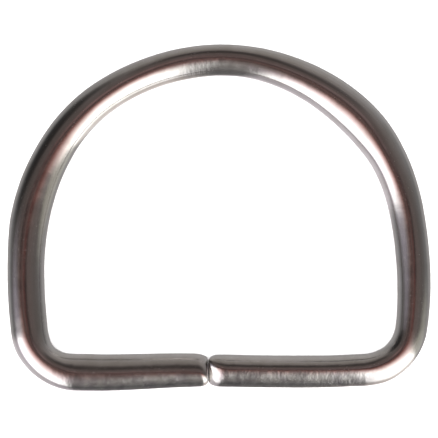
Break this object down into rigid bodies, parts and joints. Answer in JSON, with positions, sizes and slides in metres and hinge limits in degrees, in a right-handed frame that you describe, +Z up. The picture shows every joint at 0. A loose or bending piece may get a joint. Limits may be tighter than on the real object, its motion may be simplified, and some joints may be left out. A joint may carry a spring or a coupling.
{
  "type": "d ring",
  "caption": "D ring bent from round steel wire, lying flat: a straight bar for webbing, a bowed top for a hook or cord, and an open butt joint in the bar.",
  "frame": {"origin": "on the surface that the ring lies on, under the middle of its outline", "axes": "+X along the straight bar, +Y from the bar towards the crown of the bow, +Z up from the surface, square to the plane of the ring"},
  "size_m": [0.037, 0.0302, 0.003],
  "materials": {
    "nickel_plate": "polished nickel plate, slightly rippled, with fine handling marks"
  },
  "bodies": {
    "root": {"wire_ring": "nickel_plate"}
  },
  "joints": []
}
